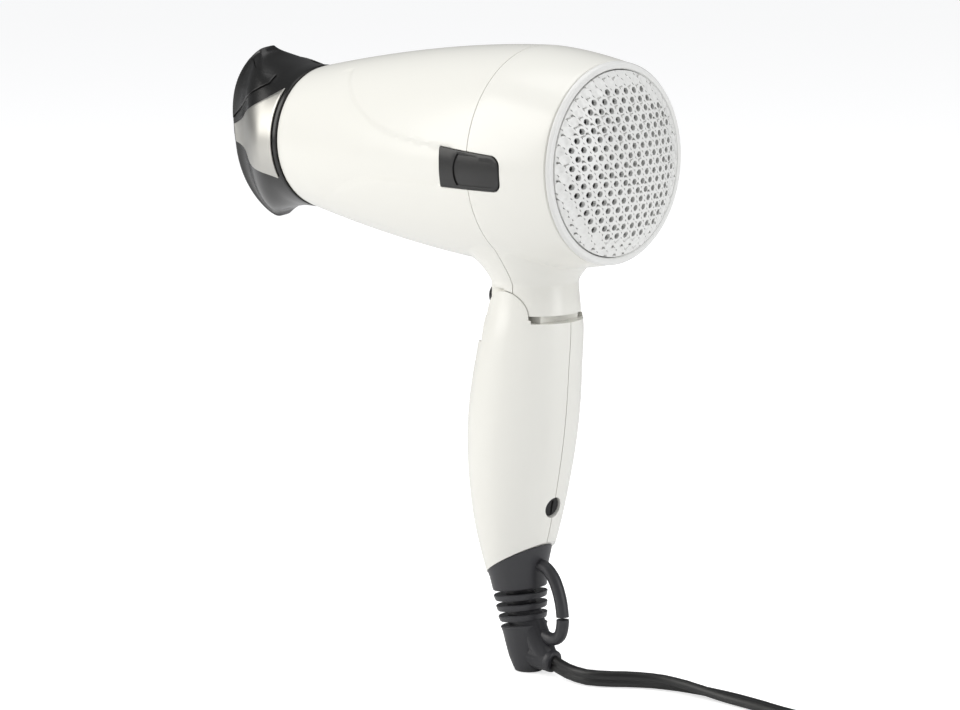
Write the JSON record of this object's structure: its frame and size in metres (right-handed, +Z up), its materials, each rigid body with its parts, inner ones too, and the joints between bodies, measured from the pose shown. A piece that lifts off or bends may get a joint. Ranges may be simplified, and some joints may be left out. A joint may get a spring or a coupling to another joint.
{
  "type": "hair dryer",
  "caption": "Folding hand-held hair dryer: domed perforated intake, push-on concentrator nozzle, tapering handle, cool-shot button, hanging loop, and a flat cord coiled up to a round-pin plug.",
  "frame": {"origin": "centre of the dryer's footprint without its cord, on the surface under the strain relief's tip", "axes": "+Z up the handle to the barrel, +X from the nozzle towards the intake grille, +Y to the dryer's right"},
  "size_m": [0.4326, 0.0935, 0.2158],
  "materials": {
    "pearl_white": "pearl gloss",
    "grille_white": "gloss",
    "piano_black": "high gloss",
    "matte_black": "matte",
    "charcoal_soft_plastic": "satin",
    "cord_black": "satin",
    "brushed_silver": "brushed",
    "steel": "satin",
    "plated_brass": "nickel plated",
    "filter_mesh": "woven",
    "motor_plastic": "matte",
    "circuit_board": "satin",
    "mica": "matte",
    "heating_wire": "oxidised",
    "heat_plastic": "matte",
    "wire_red": "satin",
    "wire_blue": "satin"
  },
  "bodies": {
    "handle": {"handle_left": "pearl_white", "handle_right": "pearl_white", "handle_screw_lower": "steel", "handle_screw_upper": "steel", "hinge_pin_left": "steel", "hinge_pin_right": "steel", "hinge_detent": "steel", "slide_switch": "matte_black", "voltage_switch": "matte_black", "cord_clamp": "matte_black", "handle_lead_live": "wire_red", "handle_lead_neutral": "wire_blue", "strain_relief": "charcoal_soft_plastic", "power_cord": "cord_black", "cord_coil": "cord_black", "plug_body": "matte_black", "plug_pin_left": "plated_brass", "plug_pin_right": "plated_brass"},
    "barrel": {"front_shell": "pearl_white", "rear_shell": "pearl_white", "side_insert_left": "piano_black", "side_insert_right": "piano_black", "rear_grille": "grille_white", "grille_ring": "grille_white", "intake_filter": "filter_mesh", "motor_can": "steel", "motor_housing": "motor_plastic", "rectifier_board": "circuit_board", "heater_sleeve": "mica", "heater_frame": "mica", "heating_coil_front": "heating_wire", "heating_coil_rear": "heating_wire", "thermostat": "steel", "thermal_fuse": "steel", "outlet_grille": "heat_plastic", "cool_switch": "matte_black", "neck_lead_live": "wire_red", "neck_lead_neutral": "wire_blue"},
    "rotor": {"motor_shaft": "steel", "fan": "motor_plastic"},
    "collar": {"nozzle_collar": "piano_black"},
    "nozzle": {"nozzle_shell": "piano_black", "nozzle_panel_left": "brushed_silver", "nozzle_panel_right": "brushed_silver"},
    "button": {"cool_button": "piano_black"},
    "slide": {"power_slide": "matte_black"},
    "dial": {"voltage_dial": "matte_black"}
  },
  "joints": [
    {"name": "fold", "type": "hinge", "parent": "handle", "child": "barrel", "pos_m": [0.04885, 0, 0.1245], "axis": [0, -1, 0], "range_deg": [0, 75]},
    {"name": "fan_spin", "type": "hinge", "parent": "barrel", "child": "rotor", "pos_m": [0.04935, 0, 0.1782], "axis": [1, 0, 0], "continuous": true},
    {"name": "nozzle_pull", "type": "slide", "parent": "barrel", "child": "collar", "axis": [-1, 0, 0], "range_m": [0, 0.03]},
    {"name": "nozzle_turn", "type": "hinge", "parent": "collar", "child": "nozzle", "pos_m": [-0.05065, 0, 0.1782], "axis": [1, 0, 0], "continuous": true},
    {"name": "cool_shot", "type": "slide", "parent": "barrel", "child": "button", "axis": [1, 0, 0], "range_m": [0, 0.0015], "stiffness_N_per_m": 900, "springref_m": -0.002},
    {"name": "power_switch", "type": "slide", "parent": "handle", "child": "slide", "axis": [0, 0, 1], "range_m": [0, 0.012]},
    {"name": "voltage_select", "type": "hinge", "parent": "handle", "child": "dial", "pos_m": [0.05795, 0, 0.0585], "axis": [0.9781, 0, -0.2079], "range_deg": [0, 90]}
  ]
}
